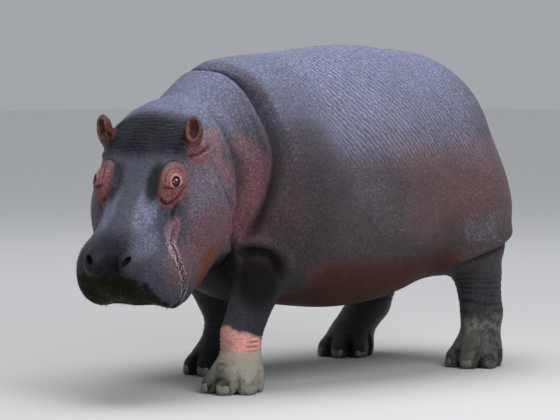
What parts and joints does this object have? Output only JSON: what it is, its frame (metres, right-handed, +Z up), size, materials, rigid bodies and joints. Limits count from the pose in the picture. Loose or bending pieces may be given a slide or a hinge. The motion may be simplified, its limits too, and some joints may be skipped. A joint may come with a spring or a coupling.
{
  "type": "hippopotamus",
  "caption": "Life-size standing hippopotamus: barrel trunk, short legs, head hung low and turned to its left.",
  "frame": {"origin": "On the floor, under the middle of the animal's bounding box.", "axes": "+X from tail to nose along the trunk, +Y to the animal's left, +Z up."},
  "size_m": [2.4122, 1.1216, 1.4462],
  "materials": {
    "skin": "satin",
    "eye": "gloss",
    "nail": "matte"
  },
  "bodies": {
    "root": {"trunk": "skin", "neck": "skin", "head": "skin", "lower_jaw": "skin", "tail": "skin", "ear_left": "skin", "ear_right": "skin", "eye_left": "eye", "eye_right": "eye", "fore_left_leg": "skin", "foot_fore_left": "skin", "nail_fore_left_1": "nail", "nail_fore_left_2": "nail", "nail_fore_left_3": "nail", "nail_fore_left_4": "nail", "fore_right_leg": "skin", "foot_fore_right": "skin", "nail_fore_right_1": "nail", "nail_fore_right_2": "nail", "nail_fore_right_3": "nail", "nail_fore_right_4": "nail", "hind_left_leg": "skin", "foot_hind_left": "skin", "nail_hind_left_1": "nail", "nail_hind_left_2": "nail", "nail_hind_left_3": "nail", "nail_hind_left_4": "nail", "hind_right_leg": "skin", "foot_hind_right": "skin", "nail_hind_right_1": "nail", "nail_hind_right_2": "nail", "nail_hind_right_3": "nail", "nail_hind_right_4": "nail"}
  },
  "joints": []
}
